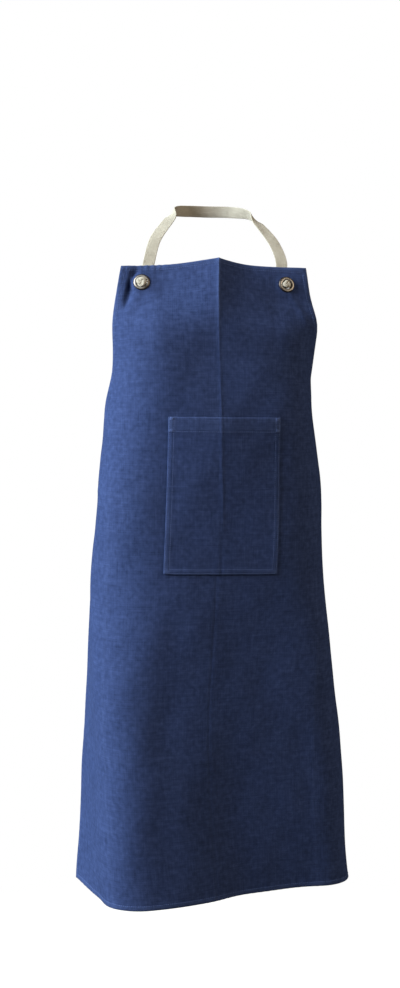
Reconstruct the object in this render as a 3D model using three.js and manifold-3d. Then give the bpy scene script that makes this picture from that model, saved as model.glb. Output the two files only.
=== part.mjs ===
// Canvas bib apron as it hangs when worn: one cloth panel with a patch pocket,
// two set eyelets, a knotted neck strap and a waist tie.
// Millimetres, +Z up, the front faces -Y.
// The origin is where the neck strap sits on the nape.

import * as THREE from "three";
import Module from "manifold-3d";

const wasm = await Module();
wasm.setup();
const { Manifold, Mesh: SolidMesh } = wasm;

// Cut of the cloth, laid flat: "across" from the centre crease, "level" down from the top edge
const LENGTH = 1000;
const BIB_HALF = 150;
const SKIRT_HALF = 350;
const ARMHOLE_DROP = 300;
const ARMHOLE_PULL = { across: 200, level: 283 };

// Rows of the panel's mesh between its top hem and the level where they all run straight
const UPPER_LEVELS = [11, 20, 28, 37, 52, 78, 110, 148, 188, 228, 266, 304];
const UPPER_END = 345;

// Cloth, hems and the gap between pieces
const CLOTH = 1.4;
const HEM_WIDTH = 9;
const HEM_STEP = 2;
const HEM_FRONT = 0.3;
const HEM_BACK = 0.8;
const GAP = 0.3;

// Pocket on the pattern, sewn on a little askew and narrower at its mouth: its levels are at
// its middle
const POCKET_LEFT = -83;
const POCKET_RIGHT = 97;
const POCKET_TOP = 246;
const POCKET_BOTTOM = 486;
const POCKET_TILT_TOP = 0.014;
const POCKET_TILT_FOOT = 0.035;
const POCKET_TAPER = 0.027;
const POCKET_HEM = 24;
const POCKET_GAPE = 3;

// Eyelets
const EYELET_LEFT = { across: -118, level: 28 };
const EYELET_RIGHT = { across: 118, level: 28 };
const FLANGE_RADIUS = 12.5;
const FLANGE_RISE = 2;
const THROAT_RADIUS = 6.6;
const BARREL_WALL = 0.8;
const WASHER_THICK = 1;
const EYELET_SEAT = 0.5;
const WASHER_SEAT = 1.5;
const EYELET_SIDES = 28;

// Tapes
const TAPE_WIDTH = 18;
const TAPE_THICK = 1.8;
const STEM_WIDTH = 9;
const STEM_THICK = 8;
const KNOT_RADIUS = 7.4;
const KNOT_DEPTH = 5;
const KNOT_SEAT = 3.3;

// How the cloth hangs, a row for each level down the crease: where the crease is in plan,
// then for each half the angle back at the crease (keel), across the front (flat) and along
// the side (side), all in degrees, and where and over what stretch it turns the side.
const DRAPE_COLUMNS = [
  "level", "x", "y",
  "keelL", "flatL", "turnL", "spreadL", "sideL",
  "keelR", "flatR", "turnR", "spreadR", "sideR",
];
const DRAPE = [
  [0, -7, -164, 20, 6, 200, 151, 56, 37, 2, 194, 150, 64],
  [55, -10, -182, 15, 11, 172, 174, 70, 25, 13, 210, 158, 70],
  [110, -11, -194, -1, 6, 146, 181, 83, 12, 13, 173, 171, 83],
  [160, -10, -197, -4, 1, 143, 173, 93, 8, 14, 161, 189, 97],
  [215, -9, -202, -4, 2, 154, 186, 98, 8, 12, 161, 189, 107],
  [320, -10, -203, -4, 3, 170, 195, 104, 8, 10, 179, 242, 113],
  [500, -15, -196, -7, 1, 171, 198, 97, 11, 10, 189, 179, 107],
  [750, -25, -183, -15, -9, 151, 142, 87, 19, 7, 222, 144, 99],
  [1000, -9, -170, -27, -9, 160, 108, 77, 31, 9, 231, 110, 91],
];
const KEEL_REACH = 60;
const TOP_HEIGHT = -82;

// Each corner of the bib sags a little below the crease
const SAG_LEFT = 2.5;
const SAG_RIGHT = 0.5;
const SAG_REACH = 45;
const SAG_FADE = 70;

// The skirt's back corners hang lower than its front
const CORNER_DROP = 6;
const CORNER_START = 150;
const CORNER_TOP = 600;

// Neck strap route from the nape down to behind the bib's top edge, with the way its outer
// face looks
const NECK_ROUTE_COLUMNS = ["x", "y", "z", "faceX", "faceY", "faceZ"];
const NECK_LEFT = [
  [0, 0.9, 0, 0, 1, 0.1],
  [-34, -7, 0, -0.5, 0.85, 0.2],
  [-60, -32, -3, -0.85, 0.25, 0.45],
  [-70, -66, -17, -0.3, -0.7, 0.65],
  [-97, -99, -52, -0.1, -0.75, 0.65],
  [-109, -119, -88, 0, -0.85, 0.5],
];
const NECK_RIGHT = [
  [0, 0.9, 0, 0, 1, 0.1],
  [34, -7, -1, 0.5, 0.85, 0.2],
  [61, -32, -7, 0.85, 0.25, 0.45],
  [72, -66, -25, 0.3, -0.7, 0.65],
  [91, -99, -58, 0.1, -0.75, 0.65],
  [98, -119, -88, 0, -0.85, 0.5],
];

// Waist tie route round the back, from the wearer's right to left
const TIE_LEVEL = 315;
const TIE_LAP = 30;
const TIE_CLEAR = 8;
const TIE_ROUTE_COLUMNS = ["x", "y", "z"];
const TIE_ROUTE = [
  [-116, 49, -387],
  [-66, 57, -385],
  [-17, 59, -384],
  [32, 58, -385],
  [78, 50, -387],
];
const TIE_KNOT = { across: 26, deep: 13, tall: 24 };
const TIE_TAILS_COLUMNS = ["side", "length", "splay"];
const TIE_TAILS = [
  [-1, 235, 9],
  [1, 215, 11],
];

const COLOURS = { canvas: 0x2f3d63, brass: 0x6b6054, tape: 0xc6c4b8 };

function smoothstep(t) {
  const u = Math.min(Math.max(t, 0), 1);
  return u * u * (3 - 2 * u);
}

function lerp(a, b, t) {
  return a + (b - a) * t;
}

function range(from, to, steps) {
  return Array.from({ length: steps + 1 }, (_, i) => lerp(from, to, i / steps));
}

// A column of the drape table at any level, as a smooth curve through its rows
function drapeValue(name, level) {
  const c = DRAPE_COLUMNS.indexOf(name);
  const last = DRAPE.length - 1;
  const secant = (i) => (DRAPE[i + 1][c] - DRAPE[i][c]) / (DRAPE[i + 1][0] - DRAPE[i][0]);
  const slope = (i) => {
    if (i === 0) return secant(0);
    if (i === last) return secant(last - 1);
    const above = DRAPE[i][0] - DRAPE[i - 1][0];
    const below = DRAPE[i + 1][0] - DRAPE[i][0];
    return (above * secant(i) + below * secant(i - 1)) / (above + below);
  };
  let i = 0;
  while (i < last - 1 && level > DRAPE[i + 1][0]) i += 1;
  const span = DRAPE[i + 1][0] - DRAPE[i][0];
  const t = (level - DRAPE[i][0]) / span;
  const t2 = t * t;
  const t3 = t2 * t;
  return (2 * t3 - 3 * t2 + 1) * DRAPE[i][c] + (t3 - 2 * t2 + t) * span * slope(i)
    + (3 * t2 - 2 * t3) * DRAPE[i + 1][c] + (t3 - t2) * span * slope(i + 1);
}

// Height of the crease at each step down it, so that the cloth keeps its length
const CREASE_STEP = 5;
const creaseHeights = [TOP_HEIGHT];
for (let level = 0; level < LENGTH; level += CREASE_STEP) {
  const dx = drapeValue("x", level + CREASE_STEP) - drapeValue("x", level);
  const dy = drapeValue("y", level + CREASE_STEP) - drapeValue("y", level);
  const drop = Math.sqrt(CREASE_STEP ** 2 - dx * dx - dy * dy);
  creaseHeights.push(creaseHeights[creaseHeights.length - 1] - drop);
}

function creaseHeight(level) {
  const last = creaseHeights.length - 2;
  const i = Math.min(Math.max(Math.floor(level / CREASE_STEP), 0), last);
  return lerp(creaseHeights[i], creaseHeights[i + 1], level / CREASE_STEP - i);
}

// One level of the cloth: the crease point, the way back, and the run of each half in plan
const PLAN_STEP = 2;
const planCache = new Map();
function planAt(level) {
  if (planCache.has(level)) return planCache.get(level);
  const away = 2;
  const dy = drapeValue("y", level + away) - drapeValue("y", level - away);
  const dz = creaseHeight(level + away) - creaseHeight(level - away);
  const lean = Math.atan2(-dy, -dz);
  const plan = {
    crease: new THREE.Vector3(drapeValue("x", level), drapeValue("y", level), creaseHeight(level)),
    back: new THREE.Vector3(0, Math.cos(lean), -Math.sin(lean)),
  };
  for (const side of ["L", "R"]) {
    const [keel, flat, turn, spread, edge] = ["keel", "flat", "turn", "spread", "side"]
      .map((name) => drapeValue(name + side, level));
    const run = [[0, 0]];
    for (let s = PLAN_STEP / 2; s < SKIRT_HALF + 20; s += PLAN_STEP) {
      const degrees = flat + (keel - flat) * Math.exp(-((s / KEEL_REACH) ** 2))
        + (edge - flat) * smoothstep((s - turn + spread / 2) / spread);
      const angle = THREE.MathUtils.degToRad(degrees);
      const [x, y] = run[run.length - 1];
      run.push([x + PLAN_STEP * Math.cos(angle), y + PLAN_STEP * Math.sin(angle)]);
    }
    plan[side] = run;
  }
  planCache.set(level, plan);
  return plan;
}

// A point of the cloth's front face
function clothPoint(across, level) {
  const plan = planAt(level);
  const sign = across < 0 ? -1 : 1;
  const run = across < 0 ? plan.L : plan.R;
  const along = Math.abs(across) / PLAN_STEP;
  const i = Math.min(Math.floor(along), run.length - 2);
  const x = lerp(run[i][0], run[i + 1][0], along - i);
  const y = lerp(run[i][1], run[i + 1][1], along - i);
  const depth = across < 0 ? SAG_LEFT : SAG_RIGHT;
  const sag = depth * (1 - Math.exp(-((across / SAG_REACH) ** 2))) * Math.exp(-level / SAG_FADE);
  const drop = CORNER_DROP * smoothstep((level - CORNER_TOP) / (LENGTH - CORNER_TOP))
    * smoothstep((Math.abs(across) - CORNER_START) / (SKIRT_HALF - CORNER_START));
  const point = plan.crease.clone().addScaledVector(plan.back, y);
  point.x += sign * x;
  point.z -= sag + drop;
  return point;
}

// The cloth's outward direction, and the way up the cloth
function clothFrame(across, level) {
  const away = 3;
  const dAcross = clothPoint(across + away, level).sub(clothPoint(across - away, level));
  const dLevel = clothPoint(across, level + away).sub(clothPoint(across, level - away));
  const out = dLevel.clone().cross(dAcross).normalize();
  const up = dLevel.negate().normalize();
  return { point: clothPoint(across, level), out, up };
}

function offCloth(across, level, offset) {
  const { point, out } = clothFrame(across, level);
  return point.addScaledVector(out, offset);
}

// A closed solid through rings of points. Each ring runs along its front from left to right
// and home along its back, and the rings follow one another downwards. Each patch between
// two rings is split along its shorter diagonal.
function loft(rings) {
  const count = rings[0].length;
  const points = rings.flat();
  const position = points.flatMap((p) => [p.x, p.y, p.z]);
  const index = [];
  const at = (r, k) => r * count + (k % count);
  for (let r = 0; r < rings.length - 1; r += 1) {
    for (let k = 0; k < count; k += 1) {
      const [a, b, c, d] = [at(r, k), at(r + 1, k), at(r + 1, k + 1), at(r, k + 1)];
      const falling = points[a].distanceTo(points[c]) <= points[b].distanceTo(points[d]);
      if (falling) index.push(a, b, c, a, c, d);
      else index.push(a, b, d, b, c, d);
    }
  }
  const end = rings.length - 1;
  for (let k = 0; k < count / 2 - 1; k += 1) {
    const mate = count - 1 - k;
    index.push(at(0, k), at(0, k + 1), at(0, mate - 1));
    index.push(at(0, k), at(0, mate - 1), at(0, mate));
    index.push(at(end, k), at(end, mate - 1), at(end, k + 1));
    index.push(at(end, k), at(end, mate), at(end, mate - 1));
  }
  const geometry = new THREE.BufferGeometry();
  geometry.setAttribute("position", new THREE.Float32BufferAttribute(position, 3));
  geometry.setIndex(index);
  return geometry;
}

function toSolid(geometry) {
  const place = geometry.attributes.position;
  const properties = new Float32Array(place.array);
  const corners = geometry.index
    ? new Uint32Array(geometry.index.array)
    : Uint32Array.from({ length: place.count }, (_, i) => i);
  const mesh = new SolidMesh({ numProp: 3, vertProperties: properties, triVerts: corners });
  mesh.merge();
  return new Manifold(mesh);
}

function toGeometry(solid) {
  const mesh = solid.getMesh();
  const position = [];
  for (let i = 0; i < mesh.vertProperties.length; i += mesh.numProp) {
    position.push(...mesh.vertProperties.slice(i, i + 3));
  }
  const geometry = new THREE.BufferGeometry();
  geometry.setAttribute("position", new THREE.Float32BufferAttribute(position, 3));
  geometry.setIndex([...mesh.triVerts]);
  geometry.computeVertexNormals();
  return geometry;
}

function part(name, geometry, material) {
  const mesh = new THREE.Mesh(geometry, material);
  mesh.name = name;
  if (!geometry.attributes.normal) geometry.computeVertexNormals();
  return mesh;
}

// The armhole is one pulled curve from the bib's top corner to the waist corner
function armholePoint(t) {
  const pull = 2 * t * (1 - t);
  return {
    across: BIB_HALF * (1 - t) ** 2 + ARMHOLE_PULL.across * pull + SKIRT_HALF * t * t,
    level: ARMHOLE_PULL.level * pull + ARMHOLE_DROP * t * t,
  };
}

function armholeShare(across) {
  let low = 0;
  let high = 1;
  for (let i = 0; i < 40; i += 1) {
    const middle = (low + high) / 2;
    if (armholePoint(middle).across < across) low = middle;
    else high = middle;
  }
  return low;
}

function armholeLevel(across) {
  return armholePoint(armholeShare(across)).level;
}

// How far down a column its top hem reaches, so that it is as wide along the slanting armhole
function hemDrop(across) {
  if (Math.abs(across) < BIB_HALF - 1) return HEM_WIDTH;
  const t = Math.min(armholeShare(Math.abs(across)), 0.999);
  const [a, b] = [armholePoint(t), armholePoint(t + 0.001)];
  return HEM_WIDTH * Math.hypot(1, (b.level - a.level) / (b.across - a.across));
}

// The panel, with its hems turned to the back and eyelet holes cut through.
// It is lofted column by column, from right to left, each from its top edge to the bottom.
function bodyGeometry() {
  const inHem = HEM_WIDTH + HEM_STEP;
  const armhole = range(0, 1, 10).slice(1, -1).map((t) => armholePoint(t));
  const outer = [
    ...armhole,
    { across: SKIRT_HALF - inHem, level: armholeLevel(SKIRT_HALF - inHem) },
    { across: SKIRT_HALF - HEM_WIDTH, level: armholeLevel(SKIRT_HALF - HEM_WIDTH) },
    { across: SKIRT_HALF, level: ARMHOLE_DROP },
  ];
  const columns = [
    ...outer.map((c) => ({ ...c, across: -c.across })).reverse(),
    ...range(-BIB_HALF, BIB_HALF, 20).map((across) => ({ across, level: 0 })),
    ...outer,
  ].reverse();
  const upper = UPPER_LEVELS.map((level) => (level - UPPER_LEVELS[0]) / (UPPER_END - UPPER_LEVELS[0]));
  const rings = columns.map(({ across, level: top }) => {
    const hem = top + hemDrop(across);
    const levels = [
      top,
      hem,
      ...upper.map((share) => lerp(hem + HEM_STEP, UPPER_END, share)),
      ...range(UPPER_END, LENGTH - inHem, 12),
      LENGTH - HEM_WIDTH,
      LENGTH,
    ];
    const sideHem = Math.abs(across) > SKIRT_HALF - HEM_WIDTH - HEM_STEP / 2;
    const hemmed = (level) => sideHem || level <= hem || level >= LENGTH - HEM_WIDTH;
    const frontRise = (level) => (hemmed(level) ? HEM_FRONT : 0);
    const backRise = (level) => (hemmed(level) ? -CLOTH - HEM_BACK : -CLOTH);
    const front = levels.map((level) => offCloth(across, level, frontRise(level)));
    const back = levels.map((level) => offCloth(across, level, backRise(level)));
    return [...front, ...back.reverse()];
  });
  let panel = toSolid(loft(rings));
  for (const spot of [EYELET_LEFT, EYELET_RIGHT]) {
    const radius = THROAT_RADIUS + BARREL_WALL + GAP;
    const hole = new THREE.CylinderGeometry(radius, radius, 20, EYELET_SIDES);
    hole.applyMatrix4(eyeletPlace(spot));
    panel = panel.subtract(toSolid(stripped(hole)));
  }
  return toGeometry(panel);
}

// Position-only copy of a stock geometry, so that its seams join
function stripped(geometry) {
  const copy = new THREE.BufferGeometry();
  copy.setAttribute("position", geometry.attributes.position.clone());
  copy.setIndex(geometry.index.clone());
  return copy;
}

// Where an eyelet is set: its axis is the cloth's outward direction
function eyeletPlace(spot) {
  const { point, out } = clothFrame(spot.across, spot.level);
  const turn = new THREE.Quaternion().setFromUnitVectors(new THREE.Vector3(0, 1, 0), out);
  return new THREE.Matrix4().compose(point, turn, new THREE.Vector3(1, 1, 1));
}

// The patch pocket: sewn close on three sides, its mouth standing off a little
function pocketGeometry() {
  const levels = [
    POCKET_TOP,
    POCKET_TOP + POCKET_HEM,
    ...range(POCKET_TOP + POCKET_HEM + HEM_STEP, POCKET_BOTTOM, 8),
  ];
  const spots = [...range(POCKET_LEFT, 0, 8), ...range(0, POCKET_RIGHT, 8).slice(1)];
  const middle = (POCKET_LEFT + POCKET_RIGHT) / 2;
  const reach = (POCKET_RIGHT - POCKET_LEFT) / 2;
  const rings = levels.map((level) => {
    const share = (level - POCKET_TOP) / (POCKET_BOTTOM - POCKET_TOP);
    const open = (1 - smoothstep(share)) ** 2;
    const hem = level <= POCKET_TOP + POCKET_HEM ? 0.7 : 0;
    const base = (s) => {
      const inward = 1 - ((s - middle) / reach) ** 2;
      return GAP + 0.1 + POCKET_GAPE * open * inward;
    };
    const placed = (s) => middle + (s - middle) * (1 - POCKET_TAPER * (1 - share));
    const tilted = (s) => level + lerp(POCKET_TILT_TOP, POCKET_TILT_FOOT, share) * (s - middle);
    const front = spots.map((s) => offCloth(placed(s), tilted(s), base(s) + CLOTH + hem));
    const back = spots.map((s) => offCloth(placed(s), tilted(s), base(s)));
    return [...front, ...back.reverse()];
  });
  return loft(rings);
}

// Set eyelet: a domed flange in front, a barrel through the cloth, a lip rolled over the washer
function eyeletProfile() {
  const barrel = THROAT_RADIUS + BARREL_WALL;
  const lip = -CLOTH - WASHER_SEAT - WASHER_THICK - GAP;
  const crest = (FLANGE_RADIUS + barrel) / 2;
  const outline = [
    [FLANGE_RADIUS, EYELET_SEAT],
    [FLANGE_RADIUS, EYELET_SEAT + 0.5],
    [FLANGE_RADIUS - 1.2, EYELET_SEAT + FLANGE_RISE * 0.8],
    [crest, EYELET_SEAT + FLANGE_RISE],
    [barrel + 0.3, EYELET_SEAT + FLANGE_RISE * 0.75],
    [THROAT_RADIUS, EYELET_SEAT],
    [THROAT_RADIUS, lip - 0.3],
    [THROAT_RADIUS + 0.5, lip - 0.9],
    [barrel + 1.8, lip - 0.8],
    [barrel + 1.9, lip],
    [barrel, lip],
    [barrel, EYELET_SEAT],
    [FLANGE_RADIUS, EYELET_SEAT],
  ];
  return outline.map(([r, y]) => new THREE.Vector2(r, y));
}

function washerProfile() {
  const top = -CLOTH - WASHER_SEAT;
  const bore = THROAT_RADIUS + BARREL_WALL + GAP;
  const outline = [
    [bore, top],
    [bore, top - WASHER_THICK],
    [FLANGE_RADIUS - 0.5, top - WASHER_THICK],
    [FLANGE_RADIUS, top - WASHER_THICK / 2],
    [FLANGE_RADIUS, top],
    [bore, top],
  ];
  return outline.map(([r, y]) => new THREE.Vector2(r, y));
}

function turned(name, profile, spot, material) {
  const lathe = stripped(new THREE.LatheGeometry(profile, EYELET_SIDES));
  const mesh = part(name, toGeometry(toSolid(lathe)), material);
  mesh.applyMatrix4(eyeletPlace(spot));
  return mesh;
}

// One cross-section of a tape: a bevelled strip that faces along "face" and travels along "way"
function tapeRing(point, way, face, width, thick) {
  const out = face.clone().addScaledVector(way, -face.dot(way)).normalize();
  const side = out.clone().cross(way).normalize();
  const bevel = Math.min(thick, width) * 0.3;
  const corner = (u, v) => point.clone().addScaledVector(side, u).addScaledVector(out, v);
  const [w, t] = [width / 2, thick / 2];
  return [
    corner(-w, t - bevel), corner(-w + bevel, t), corner(w - bevel, t), corner(w, t - bevel),
    corner(w, bevel - t), corner(w - bevel, -t), corner(bevel - w, -t), corner(-w, bevel - t),
  ];
}

// A tape swept through stations that each give a point, a facing, a width and a thickness
function tapeGeometry(stations, steps) {
  const curve = new THREE.CatmullRomCurve3(stations.map((s) => s.at), false, "centripetal");
  const rings = range(0, 1, steps).map((u) => {
    const along = u * (stations.length - 1);
    const i = Math.min(Math.floor(along), stations.length - 2);
    const t = smoothstep(along - i);
    const [a, b] = [stations[i], stations[i + 1]];
    const face = a.face.clone().lerp(b.face, t);
    return tapeRing(
      curve.getPoint(u),
      curve.getTangent(u).normalize(),
      face,
      lerp(a.width, b.width, t),
      lerp(a.thick, b.thick, t),
    );
  });
  return loft(rings);
}

function named(columns, row) {
  return Object.fromEntries(columns.map((name, i) => [name, row[i]]));
}

// One half of the neck strap, from the nape to the knot in front of its eyelet
function neckStations(rows, spot) {
  const flat = { width: TAPE_WIDTH, thick: TAPE_THICK };
  const route = rows.map((row) => {
    const r = named(NECK_ROUTE_COLUMNS, row);
    return {
      at: new THREE.Vector3(r.x, r.y, r.z),
      face: new THREE.Vector3(r.faceX, r.faceY, r.faceZ).normalize(),
      ...flat,
    };
  });
  const { point, out, up } = clothFrame(spot.across, spot.level);
  const inward = new THREE.Vector3(-Math.sign(spot.across), 0, 0);
  const behind = (drop, rise, lean) => point.clone()
    .addScaledVector(out, drop).addScaledVector(up, rise).addScaledVector(inward, lean);
  const bent = out.clone().add(up).normalize();
  const stem = { width: STEM_WIDTH, thick: STEM_THICK };
  route.push({ at: behind(-13, 17, 5), face: out, width: 15, thick: 4 });
  route.push({ at: behind(-12.5, 4.5, 1.5), face: bent, width: STEM_WIDTH + 1, thick: STEM_THICK - 1 });
  route.push({ at: behind(-6, 0, 0), face: up, ...stem });
  route.push({ at: behind(EYELET_SEAT + FLANGE_RISE + 2, 0, 0), face: up, ...stem });
  return route;
}

// Stopper knot: a flattened ball with one turn of tape lying across it
function knotSolid(spot) {
  const ball = new THREE.SphereGeometry(1, 16, 8);
  ball.scale(KNOT_RADIUS, KNOT_DEPTH, KNOT_RADIUS);
  const wrap = new THREE.TorusGeometry(KNOT_RADIUS - 2.6, 2.4, 7, 16);
  wrap.rotateX(Math.PI / 2 - 0.5);
  wrap.rotateY(0.7);
  wrap.translate(0, KNOT_DEPTH * 0.25, 0);
  const knot = toSolid(stripped(ball)).add(toSolid(stripped(wrap)));
  const place = new THREE.Matrix4().multiplyMatrices(
    eyeletPlace(spot),
    new THREE.Matrix4().makeTranslation(0, KNOT_SEAT, 0),
  );
  return toSolid(toGeometry(knot).applyMatrix4(place));
}

function neckStrapGeometry() {
  const left = neckStations(NECK_LEFT, EYELET_LEFT);
  const right = neckStations(NECK_RIGHT, EYELET_RIGHT);
  const whole = [...left.reverse(), ...right.slice(1)];
  const tape = toSolid(tapeGeometry(whole, 72));
  return toGeometry(tape.add(knotSolid(EYELET_LEFT)).add(knotSolid(EYELET_RIGHT)));
}

// The waist tie: lapped inside each waist corner, round the back, knotted, with two hanging ends
function waistTieGeometry() {
  const flat = { width: TAPE_WIDTH, thick: TAPE_THICK };
  const inside = -CLOTH - HEM_BACK - GAP - 0.2 - TAPE_THICK / 2;
  const lapped = (across) => ({
    at: offCloth(across, TIE_LEVEL, inside),
    face: clothFrame(across, TIE_LEVEL).out,
    ...flat,
  });
  const middle = new THREE.Vector3(-17, -70, 0);
  const loose = TIE_ROUTE.map((row) => {
    const r = named(TIE_ROUTE_COLUMNS, row);
    const at = new THREE.Vector3(r.x, r.y, r.z);
    const face = at.clone().sub(middle).setZ(0).normalize();
    return { at, face, ...flat };
  });
  const stations = [
    ...[TIE_LAP, TIE_LAP / 2, 0, -TIE_CLEAR].map((lap) => lapped(lap - SKIRT_HALF)),
    ...loose,
    ...[-TIE_CLEAR, 0, TIE_LAP / 2, TIE_LAP].map((lap) => lapped(SKIRT_HALF - lap)),
  ];
  let tie = toSolid(tapeGeometry(stations, 44));
  const heart = loose[2].at.clone();
  heart.y += TIE_KNOT.deep / 2 - TAPE_THICK / 2;
  const knot = new THREE.SphereGeometry(1, 16, 10);
  knot.scale(TIE_KNOT.across / 2, TIE_KNOT.deep / 2, TIE_KNOT.tall / 2);
  knot.translate(heart.x, heart.y, heart.z);
  tie = tie.add(toSolid(stripped(knot)));
  for (const row of TIE_TAILS) {
    const tail = named(TIE_TAILS_COLUMNS, row);
    const splay = THREE.MathUtils.degToRad(tail.splay) * tail.side;
    const hang = (down, sway, deep) => ({
      at: new THREE.Vector3(
        heart.x + tail.side * 5 + Math.sin(splay) * down,
        heart.y + deep,
        heart.z - Math.cos(splay) * down,
      ),
      face: new THREE.Vector3(sway * tail.side, 1, 0).normalize(),
      ...flat,
    });
    const run = [
      hang(0, 0, tail.side),
      hang(tail.length * 0.2, 0.15, 2 + 2 * tail.side),
      hang(tail.length * 0.6, 0.3, 1 + 3 * tail.side),
      hang(tail.length, 0.1, 3 * tail.side),
    ];
    tie = tie.add(toSolid(tapeGeometry(run, 12)));
  }
  return toGeometry(tie);
}

function finish(name, roughness, metalness) {
  return new THREE.MeshStandardMaterial({ name, color: COLOURS[name], roughness, metalness });
}

const canvas = finish("canvas", 0.9, 0);
const brass = finish("brass", 0.4, 1);
const tape = finish("tape", 0.9, 0);

const apron = new THREE.Group();
apron.name = "apron";
apron.add(part("apron_body", bodyGeometry(), canvas));
apron.add(part("patch_pocket", pocketGeometry(), canvas));
apron.add(part("neck_strap", neckStrapGeometry(), tape));
apron.add(part("waist_tie", waistTieGeometry(), tape));

const hardware = new THREE.Group();
hardware.add(turned("eyelet_left", eyeletProfile(), EYELET_LEFT, brass));
hardware.add(turned("eyelet_right", eyeletProfile(), EYELET_RIGHT, brass));
hardware.add(turned("washer_left", washerProfile(), EYELET_LEFT, brass));
hardware.add(turned("washer_right", washerProfile(), EYELET_RIGHT, brass));
apron.add(hardware);

export default apron;
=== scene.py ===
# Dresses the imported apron: canvas panel, pocket, stitching, eyelets, knotted neck strap and
# waist tie, in a pale studio with the photograph's camera. Lengths are in millimetres until
# a mesh is made.

import math

import bpy
import numpy as np
from mathutils import Matrix, Vector


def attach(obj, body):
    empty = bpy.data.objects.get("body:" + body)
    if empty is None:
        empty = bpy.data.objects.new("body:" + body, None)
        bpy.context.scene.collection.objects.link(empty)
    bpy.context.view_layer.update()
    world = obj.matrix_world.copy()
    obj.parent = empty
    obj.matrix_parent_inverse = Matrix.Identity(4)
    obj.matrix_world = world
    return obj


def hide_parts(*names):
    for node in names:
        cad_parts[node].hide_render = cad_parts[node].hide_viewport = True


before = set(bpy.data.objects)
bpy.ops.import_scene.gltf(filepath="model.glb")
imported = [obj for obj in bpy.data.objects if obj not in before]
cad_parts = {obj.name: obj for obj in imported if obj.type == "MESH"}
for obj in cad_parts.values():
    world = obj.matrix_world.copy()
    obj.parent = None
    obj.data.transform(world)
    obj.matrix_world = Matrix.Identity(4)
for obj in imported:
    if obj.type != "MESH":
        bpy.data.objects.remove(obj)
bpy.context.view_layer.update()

MM = 0.001

# Cut of the cloth, laid flat: across from the centre crease, level down from the top edge
LENGTH = 1000.0
BIB_HALF = 150.0
SKIRT_HALF = 350.0
ARMHOLE_DROP = 300.0
ARMHOLE_PULL = (200.0, 283.0)
CLOTH = 1.4
HEM_BACK = 0.8
GAP = 0.3
HEM_STITCH = 7.4
LEVEL_ROWS = 345.0

# Pocket on the pattern, sewn on a little askew and narrower at its mouth: its levels are at
# its middle
POCKET_LEFT = -83.0
POCKET_RIGHT = 97.0
POCKET_MIDDLE = (POCKET_LEFT + POCKET_RIGHT) / 2
POCKET_TOP = 246.0
POCKET_BOTTOM = 486.0
POCKET_WIDE = POCKET_RIGHT - POCKET_LEFT
POCKET_TALL = POCKET_BOTTOM - POCKET_TOP
POCKET_TILT_TOP = 0.014
POCKET_TILT_FOOT = 0.035
POCKET_TAPER = 0.027
POCKET_HEM = 24.0
POCKET_GAPE = 3.0
POCKET_ROWS = (2.2, 8.2)

# Eyelets
EYELETS = {"left": (-118.0, 28.0), "right": (118.0, 28.0)}
FLANGE_RADIUS = 12.5
FLANGE_RISE = 2.0
THROAT_RADIUS = 6.6
BARREL_WALL = 0.8
WASHER_THICK = 1.0
EYELET_SEAT = 0.5
WASHER_SEAT = 1.5
HOLE_RADIUS = 8.3

# Tapes
TAPE_WIDTH = 18.0
TAPE_THICK = 1.8
STEM_WIDTH = 9.0
STEM_THICK = 8.0
KNOT_SEAT = 2.7
KNOT_TURN = {"left": 0.5, "right": 1.3}
KNOT_SIZE = {"left": 1.14, "right": 0.9}

# How the cloth hangs, a row for each level down the crease: where the crease is in plan, then
# for each half the angle back at the crease (keel), across the front (flat) and along the side,
# in degrees, and where and over what stretch it turns the side
DRAPE_COLUMNS = (
    "level", "x", "y",
    "keelL", "flatL", "turnL", "spreadL", "sideL",
    "keelR", "flatR", "turnR", "spreadR", "sideR",
)
DRAPE = np.array([
    [0, -7, -164, 20, 6, 200, 151, 56, 37, 2, 194, 150, 64],
    [55, -10, -182, 15, 11, 172, 174, 70, 25, 13, 210, 158, 70],
    [110, -11, -194, -1, 6, 146, 181, 83, 12, 13, 173, 171, 83],
    [160, -10, -197, -4, 1, 143, 173, 93, 8, 14, 161, 189, 97],
    [215, -9, -202, -4, 2, 154, 186, 98, 8, 12, 161, 189, 107],
    [320, -10, -203, -4, 3, 170, 195, 104, 8, 10, 179, 242, 113],
    [500, -15, -196, -7, 1, 171, 198, 97, 11, 10, 189, 179, 107],
    [750, -25, -183, -15, -9, 151, 142, 87, 19, 7, 222, 144, 99],
    [1000, -9, -170, -27, -9, 160, 108, 77, 31, 9, 231, 110, 91],
], dtype=float)
KEEL_REACH = 60.0
TOP_HEIGHT = -82.0
SAG = {-1: 2.5, 1: 0.5}
SAG_REACH = 45.0
SAG_FADE = 70.0
CORNER_DROP = 6.0
CORNER_START = 150.0
CORNER_TOP = 600.0
CREASE_STEP = 5.0

# Neck strap from the nape to behind the bib: x, y, z, then the way its outer face looks
NECK_LEFT = (
    (0, 0.9, 0, 0, 1, 0.1),
    (-34, -7, 0, -0.5, 0.85, 0.2),
    (-60, -32, -3, -0.85, 0.25, 0.45),
    (-70, -66, -17, -0.3, -0.7, 0.65),
    (-97, -99, -52, -0.1, -0.75, 0.65),
    (-109, -119, -88, 0, -0.85, 0.5),
)
NECK_RIGHT = (
    (0, 0.9, 0, 0, 1, 0.1),
    (34, -7, -1, 0.5, 0.85, 0.2),
    (61, -32, -7, 0.85, 0.25, 0.45),
    (72, -66, -25, 0.3, -0.7, 0.65),
    (91, -99, -58, 0.1, -0.75, 0.65),
    (98, -119, -88, 0, -0.85, 0.5),
)

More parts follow.
